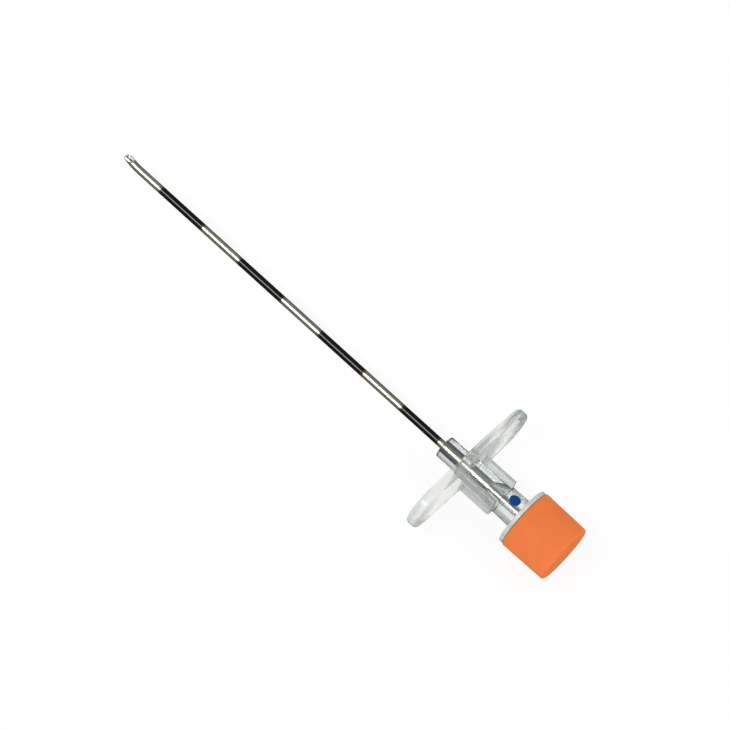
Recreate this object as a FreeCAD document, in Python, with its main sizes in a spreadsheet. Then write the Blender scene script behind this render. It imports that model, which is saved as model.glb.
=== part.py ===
import FreeCAD, Part
import os
import Sketcher

# Epidural needle with its stylet in place.
# The origin is the centre of the hub's front face, on the needle's axis.
# +X runs back along the axis to the stylet cap, so the point lies on -X.
# The bevel and the blue dot face +Z, and the two wings reach out along Y.

SIZES = [
    # steel cannula, a thin-walled tube of 1.5 mm
    ("exposed_length", 79.5, "hub face to point"),
    ("cannula_diameter", 1.5, "outside"),
    ("cannula_wall", 0.16, "tube wall"),
    ("cannula_seat", 10.8, "length bonded inside the hub"),
    ("bend_radius", 7.0, "centre line of the curved end"),
    ("bend_reach", 3.9, "start of the curve to the point, along the axis"),
    ("eye_length", 2.35, "ground opening, along the axis"),
    ("toe_height", 0.2, "blunted front of the point"),
    # black depth bands, one every second centimetre
    ("mark_first", 9.4, "point to the first band"),
    ("mark_length", 10.75, "one full band"),
    ("mark_pitch", 20.0, "band to band"),
    ("mark_depth", 0.03, "coating thickness, let into the tube"),
    ("mark_hub_gap", 1.2, "bare tube in front of the hub"),
    # clear hub
    ("nose_diameter", 4.3, "front cylinder, which takes a sheath"),
    ("nose_length", 4.4, "front cylinder"),
    ("nose_chamfer", 0.3, "front edge"),
    ("seat_lead", 0.2, "cone from the front cylinder up to the wings' seat"),
    ("seat_diameter", 4.7, "cylinder that the wings slide over"),
    ("well_diameter", 2.5, "adhesive well in the front face"),
    ("well_depth", 1.2, "adhesive well"),
    ("flare_start", 11.0, "hub face to the foot of the cone"),
    ("flare_diameter", 4.9, "large end of the cone"),
    ("neck_start", 13.95, "hub face to the shoulder that stops the wings"),
    ("neck_diameter", 5.55, "neck with the dot"),
    ("neck_growth", 0.2, "how much wider the neck is at the flange"),
    ("funnel_length", 2.9, "catheter funnel behind the tube"),
    ("flange_start", 18.2, "hub face to the flange"),
    ("flange_thickness", 0.85, "flange"),
    ("flange_diameter", 11.35, "flange"),
    ("flange_edge", 0.25, "rounding of the flange's rim"),
    ("socket_length", 7.7, "socket behind the flange"),
    ("socket_diameter", 6.7, "outside of the socket"),
    ("luer_mouth", 4.3, "mouth of the 6 percent cone"),
    ("luer_depth", 9.0, "depth of the cone"),
    ("luer_slope", 0.03, "radius lost for each mm of depth"),
    ("lug_span", 7.83, "across the two locking lugs"),
    ("lug_width", 3.6, "one lug, across"),
    ("lug_length", 1.5, "one lug, along the axis"),
    # blue orientation dot
    ("dot_diameter", 2.05, "dot"),
    ("dot_place", 16.0, "hub face to the dot's centre"),
    ("dot_depth", 0.2, "recess under the dot"),
    # clear wings
    ("plate_front", 4.7, "hub face to the front of the wings"),
    ("plate_thickness", 2.0, "wings"),
    ("wing_span", 30.2, "tip to tip"),
    ("wing_depth", 11.2, "across the middle"),
    ("wing_end_radius", 4.7, "rounded tip"),
    ("wing_edge", 0.55, "rounding of the wings' rim"),
    ("sleeve_width", 5.85, "channel behind the wings, along Y"),
    ("sleeve_height", 5.4, "channel, along Z"),
    ("sleeve_edge", 0.15, "rounding of the channel's long edges"),
    ("sleeve_heel", 0.9, "rounding of the channel's lower rear edge"),
    ("wing_fit", 0.05, "radial clearance on the hub"),
    ("wing_stop_gap", 0.1, "channel to the hub's shoulder"),
    # stylet
    ("stylet_fit", 0.04, "radial clearance in the tube"),
    ("plug_fit", 0.05, "radial clearance of the plug in the socket"),
    ("plug_length", 7.5, "cone that enters the socket"),
    ("mouth_gap", 0.1, "flange to the cap's mouth"),
    ("end_gap", 0.3, "socket to the cap's end wall"),
    ("cap_diameter", 11.65, "at the mouth"),
    ("cap_taper", 0.15, "radius lost from mouth to rear"),
    ("cap_wall", 1.1, "skirt"),
    ("cap_end_wall", 1.3, "end wall"),
    ("cap_dome", 0.25, "rise of the rear face"),
    ("cap_edge", 0.8, "rounding of the rear edge"),
    ("wire_grip", 0.6, "wire held in the end wall"),
    ("key_width", 1.2, "key between cap and socket"),
    ("key_length", 0.9, "key, along the axis"),
    ("key_height", 0.85, "key, along Z"),
    ("key_gap", 0.1, "play round the key"),
]
MARK_COUNT = 4
TOLERANCE = 1e-6

doc = FreeCAD.newDocument("epidural_needle")
sheet = doc.addObject("Spreadsheet::Sheet", "Sizes")
for row, (alias, value, note) in enumerate(SIZES, start=1):
    sheet.set(f"A{row}", alias)
    sheet.set(f"B{row}", str(value))
    sheet.setAlias(f"B{row}", alias)
    sheet.set(f"C{row}", note)
doc.recompute()

# Places and radii that several pieces share, as expressions on the sheet.
tube_radius = "(Sizes.cannula_diameter / 2)"
lumen_radius = f"({tube_radius} - Sizes.cannula_wall)"
stylet_radius = f"({lumen_radius} - Sizes.stylet_fit)"
point = "(-Sizes.exposed_length)"
bend_start = f"({point} + Sizes.bend_reach)"
nose_radius = "(Sizes.nose_diameter / 2)"
seat_start = "(Sizes.nose_length + Sizes.seat_lead)"
seat_radius = "(Sizes.seat_diameter / 2)"
bore_radius = f"({seat_radius} + Sizes.wing_fit)"
flare_radius = "(Sizes.flare_diameter / 2)"
neck_radius = "(Sizes.neck_diameter / 2)"
neck_end_radius = f"({neck_radius} + Sizes.neck_growth / 2)"
dot_radius = "(Sizes.dot_diameter / 2)"
dot_floor = f"({neck_radius} - Sizes.dot_depth)"
funnel_end = "(Sizes.cannula_seat + Sizes.funnel_length)"
flange_rear = "(Sizes.flange_start + Sizes.flange_thickness)"
flange_radius = "(Sizes.flange_diameter / 2)"
socket_end = f"({flange_rear} + Sizes.socket_length)"
socket_radius = "(Sizes.socket_diameter / 2)"
mouth_radius = "(Sizes.luer_mouth / 2)"
luer_start = f"({socket_end} - Sizes.luer_depth)"
luer_end_radius = f"({mouth_radius} - Sizes.luer_slope * Sizes.luer_depth)"
wall_middle = f"(({mouth_radius} + {socket_radius}) / 2)"
plate_rear = "(Sizes.plate_front + Sizes.plate_thickness)"
channel_rear = "(Sizes.neck_start - Sizes.wing_stop_gap)"
cap_mouth = f"({flange_rear} + Sizes.mouth_gap)"
cap_floor = f"({socket_end} + Sizes.end_gap)"
cap_rear = f"({cap_floor} + Sizes.cap_end_wall)"
plug_front = f"({socket_end} - Sizes.plug_length)"
wire_rear = f"({cap_floor} + Sizes.wire_grip)"
key_front = f"({socket_end} - Sizes.key_length + Sizes.key_gap)"
key_base = f"({wall_middle} - Sizes.key_height / 2)"

# The ground face runs from the blunt toe, low on the tube, up to the heel, high on it.
point_height = (f"(Sizes.bend_radius - sqrt((Sizes.bend_radius + {tube_radius}) ^ 2"
                f" - Sizes.bend_reach ^ 2))")
heel_height = (f"(Sizes.bend_radius - sqrt((Sizes.bend_radius - {tube_radius}) ^ 2"
               f" - (Sizes.bend_reach - Sizes.eye_length) ^ 2))")
toe_top = f"({point_height} + Sizes.toe_height)"
bevel_slope = f"(({heel_height} - {toe_top}) / Sizes.eye_length)"
run_past = "Sizes.cannula_diameter"
grind_past = f"(2 * {run_past})"
grind_width = f"(2 * {grind_past})"


def worth(expression):
    """Number that an expression on the sheet gives."""
    return float(sheet.evalExpression(expression))


def new_body(label):
    body = doc.addObject("PartDesign::Body", label)
    body.Label = label
    return body


def plane_of(body, role):
    return next(item for item in body.Origin.OriginFeatures if item.Role == role)


def new_sketch(body, name, role, offset=None):
    """Sketch on one of the body's own origin planes, moved along its normal."""
    sketch = body.newObject("Sketcher::SketchObject", name)
    sketch.AttachmentSupport = (plane_of(body, role), [""])
    sketch.MapMode = "FlatFace"
    if offset is not None:
        sketch.setExpression("AttachmentOffset.Base.z", offset)
    return sketch


def pin_point(sketch, geometry, end, across, up):
    """Ties one end of a line to the sketch's origin by two named distances."""
    for kind, axis, expression in (("DistanceX", -2, across), ("DistanceY", -1, up)):
        if expression == "0":
            sketch.addConstraint(Sketcher.Constraint("PointOnObject", geometry, end, axis))
            continue
        number = worth(expression)
        index = sketch.addConstraint(Sketcher.Constraint(kind, -1, 1, geometry, end, number))
        sketch.setExpression(f"Constraints[{index}]", expression)


def add_outline(sketch, corners):
    """Closed outline of straight lines through corners given as expressions."""
    places = [FreeCAD.Vector(worth(across), worth(up), 0) for across, up in corners]
    first = sketch.GeometryCount
    count = len(corners)
    for number in range(count):
        line = Part.LineSegment(places[number], places[(number + 1) % count])
        sketch.addGeometry(line)
    for number, (across, up) in enumerate(corners):
        before = first + (number - 1) % count
        here = first + number
        sketch.addConstraint(Sketcher.Constraint("Coincident", before, 2, here, 1))
        pin_point(sketch, here, 1, across, up)


def add_circle(sketch, radius, across="0"):
    """Circle on the sketch's level axis, its centre a named distance from the origin."""
    place = FreeCAD.Vector(worth(across), 0, 0)
    ring = sketch.addGeometry(Part.Circle(place, FreeCAD.Vector(0, 0, 1), worth(radius)))
    pin_point(sketch, ring, 3, across, "0")
    index = sketch.addConstraint(Sketcher.Constraint("Radius", ring, worth(radius)))
    sketch.setExpression(f"Constraints[{index}]", radius)


def box_corners(left, right, low, high):
    return [(left, low), (right, low), (right, high), (left, high)]


def turned(body, name, corners, kind="Revolution"):
    """Full turn of an outline about the needle's axis."""
    sketch = new_sketch(body, f"{name}_outline", "XZ_Plane")
    add_outline(sketch, corners)
    feature = body.newObject(f"PartDesign::{kind}", name)
    feature.Profile = sketch
    feature.ReferenceAxis = (sketch, ["H_Axis"])
    feature.Angle = 360
    doc.recompute()
    return feature


def extruded(body, name, sketch, length, kind="Pad", both_ways=False, turn_round=False):
    """Pad or pocket of a sketch by a named length."""
    feature = body.newObject(f"PartDesign::{kind}", name)
    feature.Profile = sketch
    feature.Midplane = both_ways
    feature.Reversed = turn_round
    feature.setExpression("Length", length)
    doc.recompute()
    return feature


def rounded(body, name, base, edges, radius):
    feature = body.newObject("PartDesign::Fillet", name)
    feature.Base = (base, edges)
    feature.setExpression("Radius", radius)
    doc.recompute()
    return feature


def edges_where(shape, test):
    """Names of the edges of a shape that a test picks out."""
    return [f"Edge{number}" for number, edge in enumerate(shape.Edges, start=1) if test(edge)]


def is_close(first, second):
    return abs(first - second) < TOLERANCE


def swept_tube(body, name, radii):
    """Tube, or rod, along the cannula's centre line, run on past the point for grinding."""
    path = new_sketch(body, f"{name}_path", "XZ_Plane")
    radius = worth("Sizes.bend_radius")
    end_x = f"({point} - {run_past})"
    end_z = f"(Sizes.bend_radius - sqrt(Sizes.bend_radius ^ 2 - ({end_x} - {bend_start}) ^ 2))"
    start = FreeCAD.Vector(worth("Sizes.cannula_seat"), 0, 0)
    bend = FreeCAD.Vector(worth(bend_start), 0, 0)
    end = FreeCAD.Vector(worth(end_x), worth(end_z), 0)
    centre = bend + FreeCAD.Vector(0, radius, 0)
    outward = ((bend + end) / 2 - centre).normalize()
    line = path.addGeometry(Part.LineSegment(start, bend))
    arc = path.addGeometry(Part.Arc(end, centre + outward * radius, bend))
    path.addConstraint(Sketcher.Constraint("Coincident", arc, 2, line, 2))
    pin_point(path, line, 1, "Sizes.cannula_seat", "0")
    pin_point(path, line, 2, bend_start, "0")
    pin_point(path, arc, 3, bend_start, "Sizes.bend_radius")
    index = path.addConstraint(Sketcher.Constraint("DistanceX", -1, 1, arc, 1, worth(end_x)))
    path.setExpression(f"Constraints[{index}]", end_x)
    ring = new_sketch(body, f"{name}_section", "YZ_Plane", "Sizes.cannula_seat")
    for radius_name in radii:
        add_circle(ring, radius_name)
    pipe = body.newObject("PartDesign::AdditivePipe", name)
    pipe.Profile = ring
    pipe.Spine = (path, ["Edge1", "Edge2"])
    doc.recompute()
    return pipe


def above_bevel():
    """Corners of the space that grinding takes away, in the XZ plane."""
    front = f"({point} - {grind_past})"
    back = f"({point} + Sizes.eye_length + {run_past})"
    back_height = f"({toe_top} + {bevel_slope} * ({back} - {point}))"
    top = "Sizes.bend_radius"
    return [(front, "0"), (point, "0"), (point, toe_top), (back, back_height), (back, top), (front, top)]


def mark_span(number):
    """Ends of one depth band. The last band stops short of the hub."""
    start = f"({point} + Sizes.mark_first + {number} * Sizes.mark_pitch)"
    end = f"(min({start} + Sizes.mark_length; -Sizes.mark_hub_gap))"
    return start, end


def mark_corners(number):
    start, end = mark_span(number)
    return box_corners(start, end, f"({tube_radius} - Sizes.mark_depth)", tube_radius)


def make_cannula():
    body = new_body("cannula")
    swept_tube(body, "tube", [tube_radius, lumen_radius])
    for number in range(MARK_COUNT):
        turned(body, f"mark_seat_{number + 1}", mark_corners(number), "Groove")
    bevel = new_sketch(body, "bevel_outline", "XZ_Plane")
    add_outline(bevel, above_bevel())
    extruded(body, "bevel", bevel, grind_width, "Pocket", both_ways=True)
    return body


def make_depth_mark(number):
    body = new_body(f"depth_mark_{number + 1}")
    turned(body, f"band_{number + 1}", mark_corners(number))
    return body


def make_hub():
    body = new_body("hub")
    well_radius = "(Sizes.well_diameter / 2)"
    outline = [
        ("0", well_radius),
        ("0", f"({nose_radius} - Sizes.nose_chamfer)"),
        ("Sizes.nose_chamfer", nose_radius),
        ("Sizes.nose_length", nose_radius),
        (seat_start, seat_radius),
        ("Sizes.flare_start", seat_radius),
        ("Sizes.neck_start", flare_radius),
        ("Sizes.neck_start", neck_radius),
        ("Sizes.flange_start", neck_end_radius),
        ("Sizes.flange_start", f"({flange_radius} - Sizes.flange_edge)"),
        ("(Sizes.flange_start + Sizes.flange_edge)", flange_radius),
        (f"({flange_rear} - Sizes.flange_edge)", flange_radius),
        (flange_rear, f"({flange_radius} - Sizes.flange_edge)"),
        (flange_rear, socket_radius),
        (socket_end, socket_radius),
        (socket_end, mouth_radius),
        (luer_start, luer_end_radius),
        (funnel_end, luer_end_radius),
        ("Sizes.cannula_seat", tube_radius),
        ("Sizes.well_depth", tube_radius),
        ("Sizes.well_depth", well_radius),
    ]
    turned(body, "moulding", outline)

    lugs = new_sketch(body, "lug_outline", "YZ_Plane", socket_end)
    lug_end, side = "(Sizes.lug_span / 2)", "(Sizes.lug_width / 2)"
    add_outline(lugs, box_corners(wall_middle, lug_end, f"(-{side})", side))
    add_outline(lugs, box_corners(f"(-{lug_end})", f"(-{wall_middle})", f"(-{side})", side))
    extruded(body, "lugs", lugs, "Sizes.lug_length", turn_round=True)

    keyway = new_sketch(body, "keyway_outline", "YZ_Plane", socket_end)
    half_key = "(Sizes.key_width / 2 + Sizes.key_gap)"
    inside_socket = f"({mouth_radius} / 2)"
    add_outline(keyway, box_corners(f"(-{half_key})", half_key, inside_socket, "Sizes.socket_diameter"))
    extruded(body, "keyway", keyway, "Sizes.key_length", "Pocket")

    recess = new_sketch(body, "dot_seat_outline", "XY_Plane", dot_floor)
    add_circle(recess, dot_radius, "Sizes.dot_place")
    extruded(body, "dot_seat", recess, "Sizes.neck_diameter", "Pocket", turn_round=True)
    return body


def make_orientation_dot():
    """Disc in the recess, its face curved as the neck is."""
    disc = doc.addObject("Part::Cylinder", "dot_disc")
    disc.setExpression("Radius", dot_radius)
    disc.setExpression("Height", "Sizes.neck_diameter")
    disc.setExpression("Placement.Base.x", "Sizes.dot_place")
    disc.setExpression("Placement.Base.z", dot_floor)
    skin = doc.addObject("Part::Cone", "dot_skin")
    skin.setExpression("Radius1", neck_radius)
    skin.setExpression("Radius2", neck_end_radius)
    skin.setExpression("Height", "Sizes.flange_start - Sizes.neck_start")
    skin.setExpression("Placement.Base.x", "Sizes.neck_start")
    skin.Placement.Rotation = FreeCAD.Rotation(FreeCAD.Vector(0, 1, 0), 90)
    dot = doc.addObject("Part::MultiCommon", "orientation_dot")
    dot.Shapes = [disc, skin]
    dot.Label = "orientation_dot"
    doc.recompute()
    return dot


def make_hub_adhesive():
    body = new_body("hub_adhesive")
    well_radius = "(Sizes.well_diameter / 2)"
    turned(body, "bead", box_corners("0", "Sizes.well_depth", tube_radius, well_radius))
    return body


def add_wing_outline(sketch):
    """Oval of four arcs: two round tips and two long shallow sides."""
    tip = worth("Sizes.wing_end_radius")
    tip_centre = worth("Sizes.wing_span / 2") - tip
    half_depth = worth("Sizes.wing_depth / 2")
    crown = half_depth - tip
    drop = (tip_centre ** 2 - crown ** 2) / (2 * crown)
    side = half_depth + drop
    reach = side / (side - tip)
    join = FreeCAD.Vector(tip_centre * reach, drop * (reach - 1), 0)
    flip_y = FreeCAD.Vector(join.x, -join.y, 0)
    flip_x = FreeCAD.Vector(-join.x, join.y, 0)
    flip_both = FreeCAD.Vector(-join.x, -join.y, 0)
    right = sketch.addGeometry(Part.Arc(flip_y, FreeCAD.Vector(tip_centre + tip, 0, 0), join))
    top = sketch.addGeometry(Part.Arc(join, FreeCAD.Vector(0, half_depth, 0), flip_x))
    left = sketch.addGeometry(Part.Arc(flip_x, FreeCAD.Vector(-tip_centre - tip, 0, 0), flip_both))
    bottom = sketch.addGeometry(Part.Arc(flip_both, FreeCAD.Vector(0, -half_depth, 0), flip_y))
    ring = [right, top, left, bottom]
    for before, after in zip(ring, ring[1:] + ring[:1]):
        sketch.addConstraint(Sketcher.Constraint("Tangent", before, 2, after, 1))
    for arc, sign in ((right, ""), (left, "-")):
        centre = f"({sign}(Sizes.wing_span / 2 - Sizes.wing_end_radius))"
        pin_point(sketch, arc, 3, centre, "0")
        index = sketch.addConstraint(Sketcher.Constraint("Radius", arc, tip))
        sketch.setExpression(f"Constraints[{index}]", "Sizes.wing_end_radius")
    side_radius = ("((Sizes.wing_span / 2 - Sizes.wing_end_radius) ^ 2"
                   " - (Sizes.wing_depth / 2 - Sizes.wing_end_radius) ^ 2)"
                   " / (2 * (Sizes.wing_depth / 2 - Sizes.wing_end_radius)) + Sizes.wing_depth / 2")
    for arc in (top, bottom):
        index = sketch.addConstraint(Sketcher.Constraint("Radius", arc, side))
        sketch.setExpression(f"Constraints[{index}]", side_radius)


def make_wing_grip():
    body = new_body("wing_grip")
    outline = new_sketch(body, "wing_outline", "YZ_Plane", "Sizes.plate_front")
    add_wing_outline(outline)
    plate = extruded(body, "wing_plate", outline, "Sizes.plate_thickness")
    rims = edges_where(plate.Shape, lambda edge: is_close(edge.BoundBox.XLength, 0))
    rounded(body, "wing_rim", plate, rims, "Sizes.wing_edge")

    side, top = "(Sizes.sleeve_width / 2)", "(Sizes.sleeve_height / 2)"
    section = new_sketch(body, "channel_section", "YZ_Plane", plate_rear)
    add_outline(section, box_corners(f"(-{side})", side, f"(-{top})", top))
    channel = extruded(body, "channel", section, f"({channel_rear} - {plate_rear})")

    def is_lower_rear(edge):
        box = edge.BoundBox
        return is_close(box.XMin, worth(channel_rear)) and is_close(box.ZMax, -worth(top))
    heel_edges = edges_where(channel.Shape, is_lower_rear)
    heel = rounded(body, "channel_heel", channel, heel_edges, "Sizes.sleeve_heel")

    def is_long(edge):
        box = edge.BoundBox
        on_side = is_close(max(abs(box.YMin), abs(box.YMax)), worth(side))
        along = box.XLength > worth("Sizes.plate_thickness")
        return on_side and along and is_close(box.XMin, worth(plate_rear))
    rounded(body, "channel_edges", heel, edges_where(heel.Shape, is_long), "Sizes.sleeve_edge")

    slot = new_sketch(body, "slot_section", "YZ_Plane", plate_rear)
    add_outline(slot, box_corners(f"(-{bore_radius})", bore_radius, "0", "Sizes.sleeve_height"))
    extruded(body, "slot", slot, "Sizes.neck_start", "Pocket", turn_round=True)

    bore = [
        ("0", "0"),
        ("Sizes.neck_start", "0"),
        ("Sizes.neck_start", f"({flare_radius} + Sizes.wing_fit)"),
        ("Sizes.flare_start", bore_radius),
        ("0", bore_radius),
    ]
    turned(body, "bore", bore, "Groove")
    return body


def make_stylet_wire():
    """Straight rod, relieved below where the tube curves, and ground with it."""
    rod = doc.addObject("Part::Cylinder", "wire_rod")
    rod.setExpression("Radius", stylet_radius)
    rod.setExpression("Height", f"{wire_rear} - {point} + {run_past}")
    rod.setExpression("Placement.Base.x", f"{point} - {run_past}")
    rod.Placement.Rotation = FreeCAD.Rotation(FreeCAD.Vector(0, 1, 0), 90)

    space = new_body("wire_space")
    swept_tube(space, "curved_space", [f"({lumen_radius} - Sizes.stylet_fit / 2)"])
    inside_tube = "(Sizes.cannula_seat / 2)"
    behind_wire = f"({wire_rear} + {run_past})"
    turned(space, "space_behind", box_corners(inside_tube, behind_wire, "0", tube_radius))

    ground = new_body("wire_grinding")
    wedge = new_sketch(ground, "wire_bevel_outline", "XZ_Plane")
    add_outline(wedge, above_bevel())
    extruded(ground, "wire_bevel", wedge, grind_width, both_ways=True)

    kept = doc.addObject("Part::MultiCommon", "wire_inside")
    kept.Shapes = [rod, space]
    wire = doc.addObject("Part::Cut", "stylet_wire")
    wire.Base = kept
    wire.Tool = ground
    wire.Label = "stylet_wire"
    doc.recompute()
    return wire


def make_stylet_cap():
    body = new_body("stylet_cap")
    cap_radius = "(Sizes.cap_diameter / 2)"
    rear_radius = f"({cap_radius} - Sizes.cap_taper)"
    skirt_inside = f"({cap_radius} - Sizes.cap_wall)"
    plug_root = f"({mouth_radius} + Sizes.luer_slope * Sizes.end_gap - Sizes.plug_fit)"
    plug_tip = f"({mouth_radius} - Sizes.luer_slope * Sizes.plug_length - Sizes.plug_fit)"
    outline = [
        (cap_mouth, skirt_inside),
        (cap_mouth, cap_radius),
        (cap_rear, rear_radius),
        (f"({cap_rear} + Sizes.cap_dome)", "0"),
        (wire_rear, "0"),
        (wire_rear, stylet_radius),
        (plug_front, stylet_radius),
        (plug_front, plug_tip),
        (cap_floor, plug_root),
        (cap_floor, skirt_inside),
    ]
    moulding = turned(body, "cap_moulding", outline)

    def is_rear_rim(edge):
        box = edge.BoundBox
        return is_close(box.XMin, worth(cap_rear)) and is_close(box.XMax, worth(cap_rear))
    rim_edges = edges_where(moulding.Shape, is_rear_rim)
    rounded(body, "cap_rim", moulding, rim_edges, "Sizes.cap_edge")

    key = new_sketch(body, "key_section", "YZ_Plane", key_front)
    half_key = "(Sizes.key_width / 2)"
    key_top = f"({key_base} + Sizes.key_height)"
    add_outline(key, box_corners(f"(-{half_key})", half_key, key_base, key_top))
    extruded(body, "key", key, f"({cap_floor} - {key_front})")
    return body


parts = [make_cannula()]
parts += [make_depth_mark(number) for number in range(MARK_COUNT)]
parts += [
    make_hub(),
    make_hub_adhesive(),
    make_orientation_dot(),
    make_wing_grip(),
    make_stylet_wire(),
    make_stylet_cap(),
]
doc.recompute()

for item in doc.Objects:
    if "Invalid" in item.State or "Error" in item.State:
        raise RuntimeError(f"{item.Name} did not build: {item.State}")
for part in parts:
    shape = part.Shape
    if shape.isNull() or not shape.isValid() or len(shape.Solids) != 1:
        raise RuntimeError(f"{part.Label} is not one sound solid")
    print(part.Label, "volume", round(shape.Volume, 3))

os.makedirs("parts", exist_ok=True)
for part in parts:
    part.Shape.exportStep(os.path.join("parts", f"{part.Label}.step"))
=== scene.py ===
from math import atan2, cos, hypot, pi, radians, sin, sqrt

import bmesh
import bpy
from mathutils import Matrix, Vector


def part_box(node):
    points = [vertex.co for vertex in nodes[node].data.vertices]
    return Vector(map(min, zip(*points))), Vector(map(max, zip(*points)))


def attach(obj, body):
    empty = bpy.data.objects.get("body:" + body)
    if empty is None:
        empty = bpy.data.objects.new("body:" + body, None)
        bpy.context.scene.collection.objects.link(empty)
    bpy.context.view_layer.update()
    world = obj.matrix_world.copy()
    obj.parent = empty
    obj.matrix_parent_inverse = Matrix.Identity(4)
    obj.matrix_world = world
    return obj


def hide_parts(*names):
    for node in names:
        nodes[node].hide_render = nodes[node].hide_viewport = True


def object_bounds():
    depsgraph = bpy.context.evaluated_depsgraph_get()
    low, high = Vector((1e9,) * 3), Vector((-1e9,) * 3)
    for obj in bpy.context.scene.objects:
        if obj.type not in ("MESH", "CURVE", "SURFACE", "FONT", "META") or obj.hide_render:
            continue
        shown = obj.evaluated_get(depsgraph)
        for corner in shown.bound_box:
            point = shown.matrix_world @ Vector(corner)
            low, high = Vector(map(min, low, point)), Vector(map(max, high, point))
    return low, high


# Epidural needle with its stylet in place. The point lies on -X, the bevel and the blue dot look up.
# Lengths in the dictionaries are millimetres, and every piece is built in metres.

mm = 0.001
scene = bpy.context.scene
axisX = Vector((1, 0, 0))
axisY = Vector((0, 1, 0))
axisZ = Vector((0, 0, 1))

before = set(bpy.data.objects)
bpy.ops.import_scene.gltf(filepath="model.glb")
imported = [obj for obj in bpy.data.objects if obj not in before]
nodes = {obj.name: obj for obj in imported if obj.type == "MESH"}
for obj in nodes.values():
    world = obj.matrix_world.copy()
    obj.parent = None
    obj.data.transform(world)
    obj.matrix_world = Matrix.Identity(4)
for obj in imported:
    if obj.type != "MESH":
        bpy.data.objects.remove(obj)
cadBox = [list(corner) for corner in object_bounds()]
print("frame loaded,", len(nodes), "nodes")


# Camera: looks down on the needle from beside it, so that the needle runs to the upper left.
camera = {
    "aim": (-20.23, 1.09, 0.58),
    "lean": 28.0,       # degrees from straight above, towards -Y
    "tip": 12.77,       # degrees towards the cap
    "roll": 42.14,      # degrees round the line of sight
    "distance": 410.0,
    "lens": 114.5,
}


def addCamera(kit):
    lean, tip, roll = radians(kit["lean"]), radians(kit["tip"]), radians(kit["roll"])
    above = Vector((0, -sin(lean), cos(lean)))
    across = Vector((0, cos(lean), sin(lean)))
    back = cos(tip) * above + sin(tip) * axisX
    level = cos(tip) * axisX - sin(tip) * above
    right = cos(roll) * level + sin(roll) * across
    up = cos(roll) * across - sin(roll) * level
    data = bpy.data.cameras.new("camera")
    data.lens = kit["lens"]
    data.clip_start = 0.01
    data.clip_end = 10
    made = bpy.data.objects.new("camera", data)
    scene.collection.objects.link(made)
    place = (Vector(kit["aim"]) + back * kit["distance"]) * mm
    made.matrix_world = Matrix.Translation(place) @ Matrix((right, up, back)).transposed().to_4x4()
    scene.camera = made


addCamera(camera)
scene.view_settings.view_transform = "Standard"
print("camera set")


# Shader sums: a Value is a socket that can be added, multiplied and so on.
class Value:
    def __init__(self, graph, socket):
        self.graph = graph
        self.socket = socket

    def sum(self, operation, first, second=0.0):
        return self.graph.node("ShaderNodeMath", {"operation": operation}, {0: first, 1: second})

    def __add__(self, other):
        return self.sum("ADD", self, other)

    def __sub__(self, other):
        return self.sum("SUBTRACT", self, other)

    def __rsub__(self, other):
        return self.sum("SUBTRACT", other, self)

    def __mul__(self, other):
        return self.sum("MULTIPLY", self, other)

    def __truediv__(self, other):
        return self.sum("DIVIDE", self, other)

    __radd__ = __add__
    __rmul__ = __mul__

    def least(self, other):
        return self.sum("MINIMUM", self, other)

    def most(self, other):
        return self.sum("MAXIMUM", self, other)

    def held(self):
        return self.most(0.0).least(1.0)

    def raised(self, width):
        # 0 below zero, 1 above it, with a rise of this width between
        return (self / width).held()

    def unsigned(self):
        return self.sum("ABSOLUTE", self)


class Graph:
    def __init__(self, tree):
        self.tree = tree
        tree.nodes.clear()

    def node(self, kind, settings=None, inputs=None, output=0):
        made = self.tree.nodes.new(kind)
        for name, setting in (settings or {}).items():
            if name == "stops":
                setStops(made.color_ramp, setting)
            else:
                setattr(made, name, setting)
        for name, value in (inputs or {}).items():
            if isinstance(value, Value):
                self.tree.links.new(value.socket, made.inputs[name])
            else:
                made.inputs[name].default_value = value
        return Value(self, made.outputs[output]) if made.outputs else None

    def along(self, axis):
        spot = self.node("ShaderNodeTexCoord", output="Object")
        return self.node("ShaderNodeSeparateXYZ", inputs={"Vector": spot}, output=axis)

    def offAxis(self):
        # distance from the needle's axis in millimetres, squared
        across, height = self.along("Y") / mm, self.along("Z") / mm
        return across * across + height * height

    def noise(self, scale, detail=3.0, shift=(0, 0, 0)):
        spot = self.node("ShaderNodeTexCoord", output="Object")
        place = self.node("ShaderNodeMapping", inputs={"Vector": spot, "Scale": scale, "Location": shift})
        return self.node("ShaderNodeTexNoise", inputs={"Vector": place, "Scale": 1.0, "Detail": detail})

    def ramp(self, value, stops):
        return self.node("ShaderNodeValToRGB", {"stops": stops}, {0: value})

    def blend(self, factor, first, second):
        return self.node("ShaderNodeMix", {"data_type": "RGBA"}, {0: factor, 6: first, 7: second}, 2)

    def bump(self, height, strength, depth):
        inputs = {"Height": height, "Strength": strength, "Distance": depth}
        return self.node("ShaderNodeBump", inputs=inputs)

    def shader(self, **inputs):
        named = {name.replace("_", " "): value for name, value in inputs.items()}
        return self.node("ShaderNodeBsdfPrincipled", inputs=named)

    def finish(self, **inputs):
        self.node("ShaderNodeOutputMaterial", inputs={"Surface": self.shader(**inputs)})


def setStops(ramp, stops):
    while len(ramp.elements) < len(stops):
        ramp.elements.new(1.0)
    for element, (place, colour) in zip(ramp.elements, stops):
        element.position = place
        element.color = colour


def newMaterial(name):
    made = bpy.data.materials.new(name)
    made.use_nodes = True
    return made, Graph(made.node_tree)


def around(middle, spread, pattern):
    # a number that a pattern moves evenly to both sides of its middle
    return pattern * spread + (middle - spread / 2)


# Surfaces: three numbers for a noise are its steps for each metre along X, Y and Z.
# Steel and bands both know how far a spot is from the nearest end of a black band.
bands = [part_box(f"depth_mark_{number}") for number in (1, 2, 3, 4)]

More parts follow.
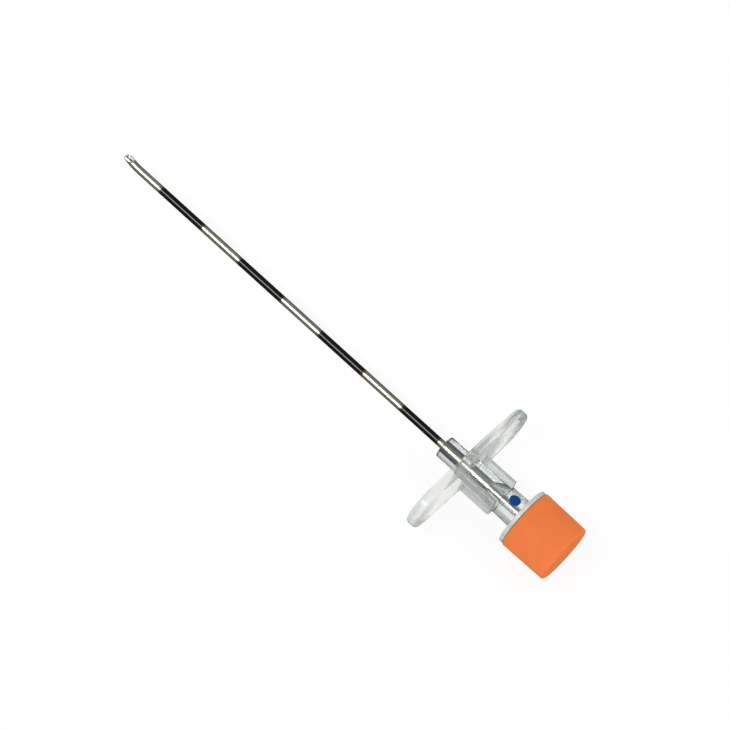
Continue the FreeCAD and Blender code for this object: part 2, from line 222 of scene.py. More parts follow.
steel = {
    "colour": (0.79, 0.775, 0.70, 1),
    "heat": (0.36, 0.23, 0.13, 1),      # brown tint beside each band
    "heatReach": 0.55,
    "heatPatches": (900, 1500, 1500),
    "heatAmount": 1.3,
    "drawnLines": (60, 7000, 7000),
    "roughness": 0.28,
    "roughnessSpread": 0.08,
    "lineRelief": 0.03,
    "lineDepth": 0.01,
}
wire = {
    "dark": (0.66, 0.65, 0.61, 1),
    "light": (0.8, 0.785, 0.74, 1),
    "drawnLines": (60, 7000, 7000),
    "drawnShift": (3, 1, 2),
    "roughness": 0.26,
    "roughnessSpread": 0.2,
    "lineRelief": 0.15,
    "lineDepth": 0.02,
}
blackBand = {
    "colour": (0.001, 0.0013, 0.0015, 1),
    "edge": (0.10, 0.05, 0.03, 1),      # where the coating thins out
    "edgeReach": 0.5,
    "edgeAmount": 1.5,
    "edgeMetal": 0.8,
    "patches": (1400, 2200, 2200),
    "roughness": 0.09,
    "roughnessSpread": 0.06,
    "ior": 1.52,
    "relief": 0.04,
    "depth": 0.01,
}


def bandDistance(graph):
    spot = graph.along("X")
    nearest = 1.0
    for low, high in bands:
        outside = (low.x - spot).most(spot - high.x)
        nearest = outside.least(nearest)
    return nearest


def steelTube(kit):
    material, graph = newMaterial("drawn steel tube")
    lines = graph.noise(kit["drawnLines"], 4.0)
    patches = graph.noise(kit["heatPatches"], 2.0) * kit["heatAmount"]
    heat = (1.0 - bandDistance(graph) / (kit["heatReach"] * mm)).held() * patches
    colour = graph.blend(heat.held(), kit["colour"], kit["heat"])
    graph.finish(
        Base_Color=colour,
        Metallic=1.0,
        Roughness=around(kit["roughness"], kit["roughnessSpread"], lines),
        Normal=graph.bump(lines, kit["lineRelief"], kit["lineDepth"] * mm),
    )
    return material


def steelWire(kit):
    material, graph = newMaterial("drawn steel wire")
    lines = graph.noise(kit["drawnLines"], 4.0, kit["drawnShift"])
    graph.finish(
        Base_Color=graph.blend(lines, kit["dark"], kit["light"]),
        Metallic=1.0,
        Roughness=around(kit["roughness"], kit["roughnessSpread"], lines),
        Normal=graph.bump(lines, kit["lineRelief"], kit["lineDepth"] * mm),
    )
    return material


def bandCoating(kit):
    material, graph = newMaterial("black band coating")
    mottle = graph.noise(kit["patches"])
    inside = bandDistance(graph) * -1.0
    edge = (1.0 - inside / (kit["edgeReach"] * mm)).held() * (mottle * kit["edgeAmount"])
    graph.finish(
        Base_Color=graph.blend(edge.held(), kit["colour"], kit["edge"]),
        Metallic=(edge * kit["edgeMetal"]).held(),
        Roughness=around(kit["roughness"], kit["roughnessSpread"], mottle),
        IOR=kit["ior"],
        Normal=graph.bump(mottle, kit["relief"], kit["depth"] * mm),
    )
    return material


# Clear mouldings: the hub is glass-like but for its fine-ground flange and a nose tinted darker as painted
# shade; the wings are a little hazy and carry painted light and shade across their plate.
clearHub = {
    "thin": (0.95, 0.97, 0.965, 1),
    "dense": (0.87, 0.91, 0.90, 1),
    "streaks": (0.4, 0.6),              # where the noise turns from dense to thin
    # painted shade: the nose is tinted darker than the rest of the moulding, up to 5 mm from its front
    "paintedNoseShade": (0.66, 0.70, 0.68, 1),
    "noseShadeEnd": 5.0,
    "noseShadeBlur": 0.5,
    "ior": 1.58,
    "clearness": 0.97,
    "roughness": 0.03,
    "roughnessSpread": 0.06,
    "flow": (50, 1300, 1300),
    "waves": 0.5,
    "waveDepth": 0.1,
    "faintWalls": (                     # start, end and radius of inner walls, and the share that vanishes
        (0.07, 1.3, 1.4, 1.0),          # the well, where plastic and adhesive bend light alike
        (13.8, 18.1, 2.3, 0.6),         # the bore through the neck
    ),
    "wallBlur": 0.02,
    "groundFrom": 18.15,                # the fine-ground flange
    "groundTo": 19.1,
    "groundBlur": 0.1,
    "frost": 0.8,
    "frostThin": (0.70, 0.71, 0.69, 1),
    "frostDense": (0.60, 0.61, 0.59, 1),
    "frostRoughness": 0.4,
    "frostSpread": 0.2,
    "frostIor": 1.4,
}
clearWing = {
    # painted light and shade: cream where the wings look bright, teal where they look shaded
    "paintedLightCream": (0.98, 1.0, 0.91, 1),
    "paintedShadeTeal": (0.80, 0.88, 0.88, 1),
    "shadeTealFrom": 0.35,                   # painted density where the painted light's cream starts to turn to the painted shade's teal
    "shadeTealBlur": 0.5,
    "ior": 1.5,
    "clearness": 0.8,
    "gloss": 0.2,
    "roughness": 0.05,
    "roughnessSpread": 0.06,
    "flow": (1300, 60, 900),
    "waves": 1.0,
    "waveDepth": 0.1,
    "drift": (900, 60, 300),            # noise that makes the borders of the painted light and shade wander
    "driftReach": 4.0,
    "plateRear": 6.8,
    "plateBlur": 0.1,
    "plateRoughness": 0.14,             # added on the plate
    "walls": 0.8,                       # how dense the channel's walls look
    "wallTone": (0.93, 0.975, 0.965, 1),
    "lightAndShadeZones": (                          # painted light and shade: millimetres along Y, and how dense the plate is painted there; dense is shade, thin is light
        (-15.1, 0.75), (-12.5, 0.65), (-9.0, 0.22), (-3.5, 0.25), (-1.0, 0.75),
        (5.5, 0.75), (8.0, 0.36), (9.5, 0.36), (12.5, 0.88), (15.1, 0.98),
    ),
}


def hubPlastic(kit):
    material, graph = newMaterial("clear hub plastic")
    flow = graph.noise(kit["flow"])
    dense, thin = kit["streaks"]
    streaks = graph.ramp(flow, [(dense, (0, 0, 0, 1)), (thin, (1, 1, 1, 1))])
    spot = graph.along("X") / mm
    ground = (spot - kit["groundFrom"]).least(kit["groundTo"] - spot).raised(kit["groundBlur"])
    body = graph.blend(streaks, kit["dense"], kit["thin"])
    relief = graph.bump(flow, kit["waves"], kit["waveDepth"] * mm)
    offAxis = graph.offAxis()
    faint = 0.0
    for start, end, radius, share in kit["faintWalls"]:
        inside = (spot - start).least(end - spot).least(radius ** 2 - offAxis)
        faint = inside.raised(kit["wallBlur"]) * share + faint
    clear = graph.shader(
        # the darker tint on the nose is painted shade
        Base_Color=graph.blend((kit["noseShadeEnd"] - spot).raised(kit["noseShadeBlur"]), body, kit["paintedNoseShade"]),
        Roughness=around(kit["roughness"], kit["roughnessSpread"], flow),
        IOR=kit["ior"],
        Transmission_Weight=kit["clearness"],
        Alpha=1.0 - faint,
        Normal=relief,
    )
    frosted = graph.shader(
        Base_Color=graph.blend(streaks, kit["frostDense"], kit["frostThin"]),
        Roughness=around(kit["frostRoughness"], kit["frostSpread"], flow),
        IOR=kit["frostIor"],
        Normal=relief,
    )
    mixed = graph.node("ShaderNodeMixShader", inputs={0: ground * kit["frost"], 1: clear, 2: frosted})
    graph.node("ShaderNodeOutputMaterial", inputs={"Surface": mixed})
    return material


def wingPlastic(kit):
    # painted light and shade: the plate is painted dense and teal at its tips and its middle, and pale
    # cream and nearly clear between them
    material, graph = newMaterial("clear wing plastic")
    flow = graph.noise(kit["flow"])
    low, high = kit["lightAndShadeZones"][0][0], kit["lightAndShadeZones"][-1][0]
    drift = around(0.0, kit["driftReach"], graph.noise(kit["drift"], 2.0))
    place = (graph.along("Y") / mm + drift - low) / (high - low)
    stops = [((spot - low) / (high - low), (amount, amount, amount, 1)) for spot, amount in kit["lightAndShadeZones"]]
    dense = graph.ramp(place, stops)
    plate = (kit["plateRear"] - graph.along("X") / mm).raised(kit["plateBlur"])
    tone = graph.blend((dense - kit["shadeTealFrom"]).raised(kit["shadeTealBlur"]), kit["paintedLightCream"], kit["paintedShadeTeal"])
    graph.finish(
        Base_Color=graph.blend(plate, kit["wallTone"], tone),
        Roughness=around(kit["roughness"], kit["roughnessSpread"], flow) + plate * kit["plateRoughness"],
        IOR=kit["ior"],
        Specular_IOR_Level=kit["gloss"],
        Transmission_Weight=kit["clearness"],
        Alpha=plate * dense + (1.0 - plate) * kit["walls"],
        Normal=graph.bump(flow, kit["waves"], kit["waveDepth"] * mm),
    )
    return material


curedAdhesive = {
    "dark": (0.96, 0.96, 0.94, 1),
    "light": (0.99, 0.99, 0.98, 1),
    "bubbles": (2500, 2500, 2500),
    "frontEnd": 0.3,
    "frontRadius": 1.257,
    "frontBlur": 0.01,
    "clearness": 0.97,
    "roughness": 0.03,
    "roughnessSpread": 0.06,
    "relief": 0.1,
    "depth": 0.1,
}


def adhesive(kit):
    # it bends light as the plastic does, so that only its front shows
    material, graph = newMaterial("cured adhesive")
    bubbles = graph.noise(kit["bubbles"], 2.0)
    front = (kit["frontEnd"] - graph.along("X") / mm).least(kit["frontRadius"] ** 2 - graph.offAxis())
    graph.finish(
        Base_Color=graph.blend(bubbles, kit["dark"], kit["light"]),
        Roughness=around(kit["roughness"], kit["roughnessSpread"], bubbles),
        IOR=clearHub["ior"],
        Transmission_Weight=kit["clearness"],
        Alpha=front.raised(kit["frontBlur"]),
        Normal=graph.bump(bubbles, kit["relief"], kit["depth"] * mm),
    )
    return material


# Ink and orange plastic: printed flat, and moulded with a satin grain.
dotInk = {
    "dark": (0.0008, 0.042, 0.20, 1),
    "light": (0.0015, 0.062, 0.26, 1),
    "patches": (3000, 3000, 3000),
    "roughness": 0.425,
    "roughnessSpread": 0.15,
    "ior": 1.25,
    "relief": 0.1,
    "depth": 0.03,
}
orangeCap = {
    "light": (0.84, 0.215, 0.058, 1),
    "dark": (0.79, 0.18, 0.042, 1),
    "patches": (260, 260, 260),
    "grain": (9000, 9000, 9000),
    "grainRelief": 0.12,
    "grainDepth": 0.04,
    "roughness": 0.62,
    "roughnessSpread": 0.14,
    "ior": 1.3,
    "glow": 0.7,
    "glowReach": (2.5, 1.0, 0.4),       # how far red, green and blue light spread inside
}


def blueInk(kit):
    material, graph = newMaterial("blue ink")
    mottle = graph.noise(kit["patches"])
    graph.finish(
        Base_Color=graph.blend(mottle, kit["dark"], kit["light"]),
        Roughness=around(kit["roughness"], kit["roughnessSpread"], mottle),
        IOR=kit["ior"],
        Normal=graph.bump(mottle, kit["relief"], kit["depth"] * mm),
    )
    return material


def orangePlastic(kit):
    material, graph = newMaterial("satin orange plastic")
    mottle = graph.noise(kit["patches"])
    grain = graph.noise(kit["grain"], 2.0)
    graph.finish(
        Base_Color=graph.blend(mottle, kit["dark"], kit["light"]),
        Roughness=around(kit["roughness"], kit["roughnessSpread"], grain),
        IOR=kit["ior"],
        Subsurface_Weight=kit["glow"],
        Subsurface_Radius=kit["glowReach"],
        Subsurface_Scale=mm,
        Normal=graph.bump(grain, kit["grainRelief"], kit["grainDepth"] * mm),
    )
    return material


# Modelling helpers. A profile is a list of (x, radius) corners.
def spun(corners, steps=128, closed=True):
    bm = bmesh.new()
    points = [bm.verts.new((x * mm, 0, radius * mm)) for x, radius in corners]
    following = points[1:] + points[:1] if closed else points[1:]
    for first, second in zip(points, following):
        bm.edges.new((first, second))
    profile = bm.verts[:] + bm.edges[:]
    bmesh.ops.spin(bm, geom=profile, axis=axisX, angle=2 * pi, steps=steps, use_merge=True)
    bmesh.ops.remove_doubles(bm, verts=bm.verts, dist=1e-8)
    bmesh.ops.recalc_face_normals(bm, faces=bm.faces)
    return bm


def isNear(first, second):
    return abs(first - second) < 0.002 * mm


def rounded(bm, edges, width, segments):
    settings = {"offset": width * mm, "segments": segments, "profile": 0.5, "affect": "EDGES"}
    bmesh.ops.bevel(bm, geom=edges, material=-1, clamp_overlap=True, **settings)


def roundRing(bm, x, radius, width, segments=4):
    def isOn(vert):
        return isNear(vert.co.x, x * mm) and isNear(hypot(vert.co.y, vert.co.z), radius * mm)
    rounded(bm, [edge for edge in bm.edges if all(isOn(vert) for vert in edge.verts)], width, segments)


def block(low, high):
    bm = bmesh.new()
    size = [(top - bottom) * mm for bottom, top in zip(low, high)]
    centre = [(top + bottom) / 2 * mm for bottom, top in zip(low, high)]
    bmesh.ops.create_cube(bm, size=1, matrix=Matrix.Translation(centre) @ Matrix.Diagonal((*size, 1)))
    return bm


def newPiece(name, bm):
    mesh = bpy.data.meshes.new(name)
    bm.to_mesh(mesh)
    bm.free()
    piece = bpy.data.objects.new(name, mesh)
    scene.collection.objects.link(piece)
    return piece


def bake(piece):
    mesh = bpy.data.meshes.new_from_object(piece.evaluated_get(bpy.context.evaluated_depsgraph_get()))
    piece.modifiers.clear()
    piece.data = mesh


def combine(piece, tool, operation):
    other = newPiece("tool", tool)
    change = piece.modifiers.new(operation, "BOOLEAN")
    change.operation = operation
    change.solver = "EXACT"
    change.object = other
    bake(piece)
    bpy.data.objects.remove(other)


def shade(piece, sharpOver=32):
    bm = bmesh.new()
    bm.from_mesh(piece.data)
    for face in bm.faces:
        face.smooth = True
    for edge in bm.edges:
        edge.smooth = edge.calc_face_angle(pi) < radians(sharpOver)
    bm.to_mesh(piece.data)
    bm.free()
    weight = piece.modifiers.new("even normals", "WEIGHTED_NORMAL")
    weight.keep_sharp = True
    bake(piece)


def dress(piece, material, body=None, node=None):
    piece.data.materials.clear()
    piece.data.materials.append(material)
    if body:
        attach(piece, body)
        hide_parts(node)


# Steel tube: turned with a seat for each band, bent up at the end and ground through its point.
tube = {
    "rear": 10.8,
    "radius": 0.75,
    "inside": 0.59,
    "bandSeat": 0.72,
    "point": -79.5,
    "bendStart": -75.6,
    "bendRadius": 7.0,
    "bendAngle": 50.0,
    "bendSteps": 40,
    "eyeLength": 2.35,
    "toe": 0.2,             # height of the blunted front
}


def bentHeight(kit, radius, reach):
    return kit["bendRadius"] - sqrt((kit["bendRadius"] - radius) ** 2 - reach ** 2)


def makeTube(kit):
    outside = [(kit["rear"], kit["radius"])]
    for low, high in reversed(bands):
        start, end = low.x / mm, high.x / mm
        outside += [(end, kit["radius"]), (end, kit["bandSeat"])]
        outside += [(start, kit["bandSeat"]), (start, kit["radius"])]
    outside += [(kit["bendStart"], kit["radius"])]
    inside = [(kit["bendStart"], kit["inside"]), (kit["rear"], kit["inside"])]
    bm = spun(inside + outside, 64, closed=False)

    # the open end goes round the bend, and the bevel is cut off it
    start = kit["bendStart"] * mm
    mouth = [edge for edge in bm.edges if all(isNear(vert.co.x, start) for vert in edge.verts)]
    rims = mouth + list({vert for edge in mouth for vert in edge.verts})
    centre = Vector((kit["bendStart"], 0, kit["bendRadius"])) * mm
    angle = radians(kit["bendAngle"])
    bmesh.ops.spin(bm, geom=rims, cent=centre, axis=axisY, angle=angle, steps=kit["bendSteps"])
    reach = kit["bendStart"] - kit["point"]
    toe = Vector((kit["point"], 0, bentHeight(kit, -kit["radius"], reach) + kit["toe"])) * mm
    heelX = kit["point"] + kit["eyeLength"]
    heel = Vector((heelX, 0, bentHeight(kit, kit["radius"], reach - kit["eyeLength"]))) * mm
    slope = (heel - toe).normalized()
    for away in (-axisX, Vector((-slope.z, 0, slope.x))):
        everything = bm.verts[:] + bm.edges[:] + bm.faces[:]
        bmesh.ops.bisect_plane(bm, geom=everything, plane_co=toe, plane_no=away, clear_outer=True)
    bmesh.ops.bridge_loops(bm, edges=[edge for edge in bm.edges if edge.is_boundary])
    bmesh.ops.recalc_face_normals(bm, faces=bm.faces)
    return newPiece("tube", bm)


tubePiece = makeTube(tube)
shade(tubePiece, 40)
dress(tubePiece, steelTube(steel), "needle", "cannula")
print("tube made,", len(tubePiece.data.polygons), "faces")


# Hub: one clear moulding, turned, with two locking lugs, a keyway and a seat for the dot.
hub = {
    "noseRadius": 2.15,
    "noseLength": 4.4,
    "noseEdge": 0.3,
    "wellRadius": 1.25,
    "wellDepth": 1.2,
    "wellEdge": 0.08,
    "seatStart": 4.6,
    "seatRadius": 2.35,
    "flareStart": 11.0,
    "flareRadius": 2.45,
    "neckStart": 13.95,
    "neckRadius": 2.775,
    "neckEndRadius": 2.875,
    "neckEdge": 0.12,
    "funnelEnd": 13.7,
    "flangeStart": 18.2,
    "flangeEnd": 19.05,
    "flangeRadius": 5.675,
    "flangeEdge": 0.22,
    "flangeFront": 0.3,     # fillet between neck and flange
    "flangeBack": 0.25,     # fillet between flange and socket
    "socketEnd": 26.75,
    "socketRadius": 3.35,
    "socketEdge": 0.15,
    "mouthRadius": 2.15,
    "mouthEdge": 0.12,
    "coneStart": 17.75,
    "coneRadius": 1.88,
    "tubeBond": 0.015,      # the plastic closes on the steel by this much, so no gap shows between them
    "lugSpan": 7.83,
    "lugWidth": 3.6,
    "lugLength": 1.5,
    "lugEdge": 0.12,
    "keywayWidth": 1.4,
    "keywayLength": 0.9,
    "dotPlace": 16.0,
    "dotRadius": 1.025,
    "dotFloor": 2.575,
    "dotGap": 0.012,
}


def dotRound(kit, gap, height):
    bm = bmesh.new()
    radius = (kit["dotRadius"] + gap) * mm
    middle = Vector((kit["dotPlace"], 0, kit["dotFloor"] - gap + height / 2)) * mm
    bmesh.ops.create_cone(bm, cap_ends=True, segments=64, radius1=radius, radius2=radius,
                          depth=height * mm, matrix=Matrix.Translation(middle))
    return bm


def makeHub(kit):
    tight = tube["radius"] - kit["tubeBond"]
    bm = spun([
        (0, kit["wellRadius"]),
        (0, kit["noseRadius"]),
        (kit["noseLength"], kit["noseRadius"]),
        (kit["seatStart"], kit["seatRadius"]),
        (kit["flareStart"], kit["seatRadius"]),
        (kit["neckStart"], kit["flareRadius"]),
        (kit["neckStart"], kit["neckRadius"]),
        (kit["flangeStart"], kit["neckEndRadius"]),
        (kit["flangeStart"], kit["flangeRadius"]),
        (kit["flangeEnd"], kit["flangeRadius"]),
        (kit["flangeEnd"], kit["socketRadius"]),
        (kit["socketEnd"], kit["socketRadius"]),
        (kit["socketEnd"], kit["mouthRadius"]),
        (kit["coneStart"], kit["coneRadius"]),
        (kit["funnelEnd"], kit["coneRadius"]),
        (tube["rear"], tight),
        (kit["wellDepth"], tight),
        (kit["wellDepth"], kit["wellRadius"]),
    ])
    roundRing(bm, 0, kit["noseRadius"], kit["noseEdge"], 5)
    roundRing(bm, 0, kit["wellRadius"], kit["wellEdge"], 2)
    roundRing(bm, kit["neckStart"], kit["flareRadius"], kit["neckEdge"], 3)
    roundRing(bm, kit["neckStart"], kit["neckRadius"], kit["neckEdge"], 4)
    roundRing(bm, kit["flangeStart"], kit["neckEndRadius"], kit["flangeFront"], 5)
    roundRing(bm, kit["flangeStart"], kit["flangeRadius"], kit["flangeEdge"], 5)
    roundRing(bm, kit["flangeEnd"], kit["flangeRadius"], kit["flangeEdge"], 5)
    roundRing(bm, kit["flangeEnd"], kit["socketRadius"], kit["flangeBack"], 4)
    roundRing(bm, kit["socketEnd"], kit["socketRadius"], kit["socketEdge"], 4)
    roundRing(bm, kit["socketEnd"], kit["mouthRadius"], kit["mouthEdge"], 3)
    piece = newPiece("hub_moulding", bm)

    wallMiddle = (kit["mouthRadius"] + kit["socketRadius"]) / 2
    side = kit["lugWidth"] / 2
    rear = kit["socketEnd"]
    for low, high in ((wallMiddle, kit["lugSpan"] / 2), (-kit["lugSpan"] / 2, -wallMiddle)):
        lug = block((rear - kit["lugLength"], low, -side), (rear, high, side))
        rounded(lug, lug.edges[:], kit["lugEdge"], 3)
        combine(piece, lug, "UNION")

    key = kit["keywayWidth"] / 2
    combine(piece, block((rear - kit["keywayLength"], -key, 1), (rear + 1, key, 5)), "DIFFERENCE")

    combine(piece, dotRound(kit, kit["dotGap"], 2), "DIFFERENCE")
    return piece


hubPiece = makeHub(hub)
shade(hubPiece)
dress(hubPiece, hubPlastic(clearHub), "needle", "hub")
print("hub made,", len(hubPiece.data.polygons), "faces")


# Wings: an oval plate with a channel behind it, open above, that slides over the hub.
wings = {
    "front": 4.7,
    "rear": 6.7,
    "span": 30.2,
    "depth": 11.2,
    "tipRadius": 4.7,
    "tipSteps": 40,
    "sideSteps": 64,
    "rim": 0.55,
    "channelRear": 13.85,
    "channelSide": 2.925,
    "channelTop": 2.7,
    "channelHeel": 0.9,
    "channelEdge": 0.15,
    "bore": 2.4,
    "boreBehind": 2.585,    # where the flaring bore is 1 mm behind the channel
    "boreEdge": 0.15,
}


def ovalOutline(bm, kit):
    # four arcs: two round tips, joined by two long shallow sides
    tip = kit["tipRadius"]
    tipMiddle = kit["span"] / 2 - tip
    crown = kit["depth"] / 2 - tip
    drop = (tipMiddle ** 2 - crown ** 2) / (2 * crown)
    halfTurn = atan2(drop, tipMiddle)           # from the wing's own axis to where the arcs meet
    start = Vector((0, tipMiddle + tip * cos(halfTurn), -tip * sin(halfTurn)))
    last = bm.verts.new((start + axisX * kit["front"]) * mm)
    arcs = [
        (Vector((0, tipMiddle, 0)), 2 * halfTurn, kit["tipSteps"]),
        (Vector((0, 0, -drop)), pi - 2 * halfTurn, kit["sideSteps"]),
        (Vector((0, -tipMiddle, 0)), 2 * halfTurn, kit["tipSteps"]),
        (Vector((0, 0, drop)), pi - 2 * halfTurn, kit["sideSteps"]),
    ]
    for centre, angle, steps in arcs:
        ends = bmesh.ops.spin(bm, geom=[last], cent=centre * mm, axis=axisX, angle=angle, steps=steps)
        last = next(item for item in ends["geom_last"] if isinstance(item, bmesh.types.BMVert))
    bmesh.ops.remove_doubles(bm, verts=bm.verts, dist=1e-7)


def makeWings(kit):
    bm = bmesh.new()
    ovalOutline(bm, kit)
    face = bmesh.ops.contextual_create(bm, geom=bm.edges[:])["faces"]
    grown = bmesh.ops.extrude_face_region(bm, geom=face, use_keep_orig=True)["geom"]
    moved = [item for item in grown if isinstance(item, bmesh.types.BMVert)]
    bmesh.ops.translate(bm, verts=moved, vec=axisX * (kit["rear"] - kit["front"]) * mm)
    bmesh.ops.recalc_face_normals(bm, faces=bm.faces)
    rims = [edge for edge in bm.edges if isNear(edge.verts[0].co.x, edge.verts[1].co.x)]
    rounded(bm, rims, kit["rim"], 8)
    piece = newPiece("wings_moulding", bm)

    side, top = kit["channelSide"], kit["channelTop"]
    middle = (kit["front"] + kit["rear"]) / 2
    channel = block((middle, -side, -top), (kit["channelRear"], side, top))

    def isHeel(vert):
        return isNear(vert.co.x, kit["channelRear"] * mm) and isNear(vert.co.z, -top * mm)

    heel = [edge for edge in channel.edges if all(isHeel(vert) for vert in edge.verts)]
    rounded(channel, heel, kit["channelHeel"], 8)
    long = [edge for edge in channel.edges if isNear(abs(edge.verts[0].co.y), side * mm)
            and isNear(edge.verts[0].co.y, edge.verts[1].co.y) and edge.calc_length() > mm]
    rounded(channel, long, kit["channelEdge"], 3)
    combine(piece, channel, "UNION")

    slot = block((kit["rear"], -kit["bore"], 0), (kit["channelRear"] + 1, kit["bore"], top + 1))
    combine(piece, slot, "DIFFERENCE")
    bore = spun([
        (kit["front"] - 1, 0),
        (kit["front"] - 1, kit["bore"] + kit["boreEdge"] + 1),
        (kit["front"] + kit["boreEdge"], kit["bore"]),
        (hub["flareStart"], kit["bore"]),
        (kit["channelRear"] + 1, kit["boreBehind"]),
        (kit["channelRear"] + 1, 0),
    ])
    combine(piece, bore, "DIFFERENCE")
    return piece


wingsPiece = makeWings(wings)
shade(wingsPiece)
dress(wingsPiece, wingPlastic(clearWing), "wings", "wing_grip")
print("wings made,", len(wingsPiece.data.polygons), "faces")


# Stylet cap: a satin skirt round the socket, a cone that plugs it and a key for its keyway.
cap = {
    "mouth": 19.15,
    "mouthRadius": 5.825,
    "mouthEdge": 0.1,
    "rear": 28.35,
    "rearRadius": 5.675,
    "dome": 0.25,
    "domeSteps": 12,
    "rearEdge": 0.8,
    "inside": 4.725,
    "insideEdge": 0.15,
    "floor": 27.05,
    "floorFillet": 0.3,
    "plugFront": 19.25,
    "plugTip": 1.875,
    "plugEdge": 0.25,
    "plugRoot": 2.109,
    "plugFillet": 0.2,
    "keyWidth": 1.2,
    "keyFront": 25.95,
    "keyLow": 2.325,
    "keyHigh": 3.175,
    "keyEdge": 0.06,
    "keyBite": 0.3,         # how far the key reaches into the floor
    "steps": 160,
}


def makeCap(kit):
    dome = []
    for step in range(1, kit["domeSteps"] + 1):
        share = 1 - step / kit["domeSteps"]
        dome.append((kit["rear"] + kit["dome"] * (1 - share ** 2), kit["rearRadius"] * share))
    bm = spun([
        (kit["plugFront"], 0),
        (kit["plugFront"], kit["plugTip"]),
        (kit["floor"], kit["plugRoot"]),
        (kit["floor"], kit["inside"]),
        (kit["mouth"], kit["inside"]),
        (kit["mouth"], kit["mouthRadius"]),
        (kit["rear"], kit["rearRadius"]),
    ] + dome, kit["steps"], closed=False)
    roundRing(bm, kit["rear"], kit["rearRadius"], kit["rearEdge"], 10)
    roundRing(bm, kit["mouth"], kit["mouthRadius"], kit["mouthEdge"])
    roundRing(bm, kit["mouth"], kit["inside"], kit["insideEdge"])
    roundRing(bm, kit["floor"], kit["inside"], kit["floorFillet"])
    roundRing(bm, kit["floor"], kit["plugRoot"], kit["plugFillet"])
    roundRing(bm, kit["plugFront"], kit["plugTip"], kit["plugEdge"])
    piece = newPiece("cap_moulding", bm)
    half = kit["keyWidth"] / 2
    keyRear = kit["floor"] + kit["keyBite"]
    key = block((kit["keyFront"], -half, kit["keyLow"]), (keyRear, half, kit["keyHigh"]))
    rounded(key, key.edges[:], kit["keyEdge"], 2)
    combine(piece, key, "UNION")
    return piece


capPiece = makeCap(cap)
shade(capPiece)
dress(capPiece, orangePlastic(orangeCap), "stylet", "stylet_cap")
print("cap made,", len(capPiece.data.polygons), "faces")


# Adhesive: fills the well round the tube, and its front dips between tube and hub.
bead = {
    "radius": 1.265,        # reaches this far into plastic and steel, so no gap shows between them
    "inside": 0.735,
    "front": 0.01,
    "depth": 1.215,
    "dip": 0.16,
}


def makeBead(kit):
    middle = (kit["radius"] + kit["inside"]) / 2
    bm = spun([
        (kit["front"], kit["radius"]),
        (kit["dip"] * 0.8, (kit["radius"] + middle) / 2),
        (kit["dip"], middle),
        (kit["dip"] * 0.6, (kit["inside"] + middle) / 2),
        (kit["front"], kit["inside"]),
        (kit["depth"], kit["inside"]),
        (kit["depth"], kit["radius"]),
    ])
    return newPiece("bead", bm)


beadPiece = makeBead(bead)
shade(beadPiece)
dress(beadPiece, adhesive(curedAdhesive), "needle", "hub_adhesive")
print("bead made,", len(beadPiece.data.polygons), "faces")


# Dot: a round of ink that fills its seat and follows the neck's surface.
def makeDot(kit):
    piece = newPiece("dot", dotRound(kit, 0, kit["neckEndRadius"]))
    neck = spun([
        (kit["neckStart"], 0),
        (kit["neckStart"], kit["neckRadius"]),
        (kit["flangeStart"], kit["neckEndRadius"]),
        (kit["flangeStart"], 0),
    ])
    combine(piece, neck, "INTERSECT")
    return piece


dotPiece = makeDot(hub)
shade(dotPiece)
dress(dotPiece, blueInk(dotInk), "needle", "orientation_dot")
print("dot made,", len(dotPiece.data.polygons), "faces")


# The bands and the wire keep their CAD meshes.
coating = bandCoating(blackBand)
for number in (1, 2, 3, 4):
    dress(nodes[f"depth_mark_{number}"], coating)
dress(nodes["stylet_wire"], steelWire(wire))
print("bands and wire dressed")


# Studio: a pale floor, two soft lamps and a sky that darkens towards the horizon.
studio = {
    "floorSize": 3000,
    "floorDrop": 0.02,
    "floorPale": (0.95, 0.95, 0.95, 1),
    "floorGrey": (0.11, 0.11, 0.105, 1),    # as reflections see it
    "floorWhiteness": 0.88,             # share of white as the camera sees it, the rest takes the shadow
    "mirroredThrough": 0.12,            # share of white that a mirrored ray sees through plastic
    "mirroredShare": 0.02,              # and that bare steel mirrors
    "skyBright": (0.9, 0.9, 0.88, 1),
    "skyDim": (0.16, 0.16, 0.15, 1),
    "skyLean": (-36.0, 0.0),            # degrees from straight above towards +Y and +X
    "skyReach": (22.0, 40.0),           # degrees from its middle to where it starts and ends to fade
    "skyline": 0.4,                     # brightness left at the horizon
    "skyRise": 2.0,                     # how fast it grows above it
    "skyEnds": (0.62, 0.62, 0.60, 1),   # pale walls before and behind the needle
    "endReach": (24.0, 42.0),           # degrees from square to the needle to where they start and are full
    "ambient": (0.6, 0.6, 0.59, 1),     # soft light on matt surfaces
    "sheetLean": (28.0, -12.8),         # the white sheet that clear plastic shows, from straight below
    "sheetReach": (36.0, 52.0),
    "aside": 0.5,                       # and its brightness beside that sheet
}
keyLamp = {
    "size": (600, 230),
    "distance": 900,
    "power": 4.0,
    "lean": 36.0,                       # degrees from straight above, towards -Y
    "tip": 12.0,                        # degrees towards the point
    "mirrored": True,
}
fillLamp = {
    "size": (700, 700),
    "distance": 900,
    "power": 2.2,
    "lean": -45.0,
    "tip": -38.0,
    "mirrored": False,
}


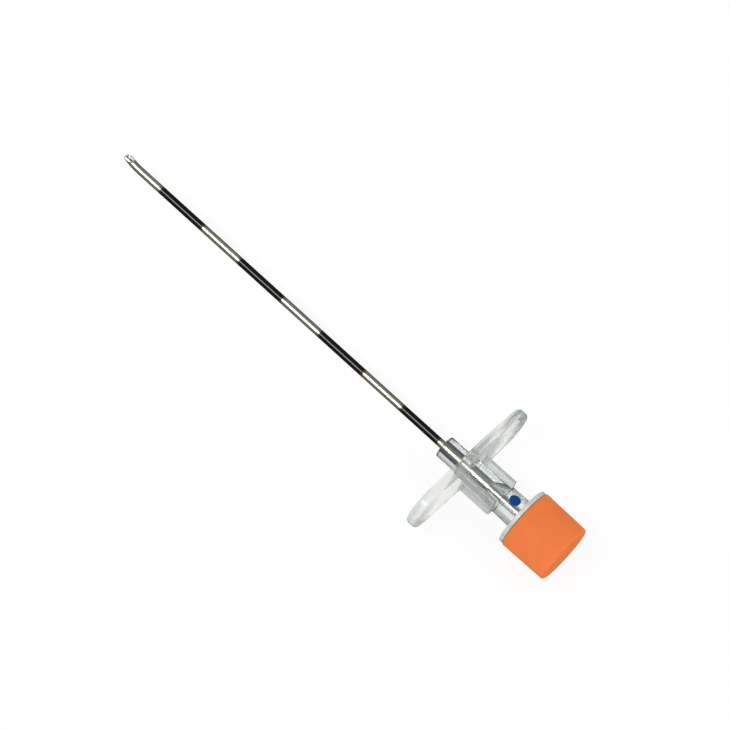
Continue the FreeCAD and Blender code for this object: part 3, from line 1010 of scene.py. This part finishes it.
def makeFloor(kit):
    bm = bmesh.new()
    low = cadBox[0][2] - kit["floorDrop"] * mm
    bmesh.ops.create_grid(bm, x_segments=1, y_segments=1, size=kit["floorSize"] / 2 * mm,
                          matrix=Matrix.Translation((0, 0, low)))
    floor = newPiece("floor", bm)
    material, graph = newMaterial("pale floor")
    camera = graph.node("ShaderNodeLightPath", output="Is Camera Ray")
    mirror = graph.node("ShaderNodeLightPath", output="Is Glossy Ray")
    share = (camera * kit["floorWhiteness"]).most(mirror * kit["mirroredShare"])
    colour = graph.blend(mirror, kit["floorPale"], kit["floorGrey"])
    paper = graph.node("ShaderNodeBsdfDiffuse", inputs={"Color": colour})
    white = graph.node("ShaderNodeEmission", inputs={"Color": (1, 1, 1, 1), "Strength": 1.0})
    mixed = graph.node("ShaderNodeMixShader", inputs={0: share, 1: paper, 2: white})
    graph.node("ShaderNodeOutputMaterial", inputs={"Surface": mixed})
    floor.data.materials.append(material)
    floor.visible_transmission = False      # clear plastic shows the sky's white sheet in its place


def patch(graph, lean, reach, side):
    # a round patch of sky: 1 in its middle, 0 outside
    towardsY, towardsX = radians(lean[0]), radians(lean[1])
    middle = Vector((sin(towardsX), sin(towardsY) * cos(towardsX), side * cos(towardsY) * cos(towardsX)))
    direction = graph.node("ShaderNodeTexCoord", output="Generated")
    inputs = {0: direction, 1: middle}
    turn = graph.node("ShaderNodeVectorMath", {"operation": "DOT_PRODUCT"}, inputs, "Value")
    near, far = (cos(radians(angle)) for angle in reach)
    return (turn - far).raised(near - far)


def makeSky(kit):
    world = bpy.data.worlds.new("studio")
    world.use_nodes = True
    scene.world = world
    graph = Graph(world.node_tree)
    direction = graph.node("ShaderNodeTexCoord", output="Generated")
    height = graph.node("ShaderNodeSeparateXYZ", inputs={"Vector": direction}, output="Z")
    along = graph.node("ShaderNodeSeparateXYZ", inputs={"Vector": direction}, output="X")
    low, high = (sin(radians(angle)) for angle in kit["endReach"])
    ends = (along.unsigned() - low).raised(high - low)
    walls = graph.blend(ends, kit["skyDim"], kit["skyEnds"])
    sky = graph.blend(patch(graph, kit["skyLean"], kit["skyReach"], 1), walls, kit["skyBright"])
    rise = (height * kit["skyRise"] + kit["skyline"]).held()
    room = graph.blend(rise.most(ends), (0, 0, 0, 1), sky)
    camera = graph.node("ShaderNodeLightPath", output="Is Camera Ray")
    through = graph.node("ShaderNodeLightPath", output="Is Transmission Ray")
    mirrored = graph.node("ShaderNodeLightPath", output="Glossy Depth").held()
    sheet = patch(graph, kit["sheetLean"], kit["sheetReach"], -1) * (1.0 - kit["aside"]) + kit["aside"]
    share = through * sheet * (1.0 - mirrored * (1.0 - kit["mirroredThrough"]))
    matt = graph.node("ShaderNodeLightPath", output="Is Diffuse Ray")
    lit = graph.blend(matt, room, kit["ambient"])
    colour = graph.blend(camera.most(share), lit, (1, 1, 1, 1))
    shader = graph.node("ShaderNodeBackground", inputs={"Color": colour, "Strength": 1.0})
    graph.node("ShaderNodeOutputWorld", inputs={"Surface": shader})


def makeLamp(name, kit):
    data = bpy.data.lights.new(name, "AREA")
    data.shape = "RECTANGLE"
    data.size = kit["size"][0] * mm
    data.size_y = kit["size"][1] * mm
    data.energy = kit["power"]
    lamp = bpy.data.objects.new(name, data)
    scene.collection.objects.link(lamp)
    lamp.visible_glossy = kit["mirrored"]
    lamp.visible_transmission = kit["mirrored"]
    turn = Matrix.Rotation(radians(kit["lean"]), 4, "X") @ Matrix.Rotation(-radians(kit["tip"]), 4, "Y")
    lamp.matrix_world = turn @ Matrix.Translation(axisZ * kit["distance"] * mm)


makeFloor(studio)
makeSky(studio)
makeLamp("key softbox", keyLamp)
makeLamp("fill softbox", fillLamp)
print("studio set")
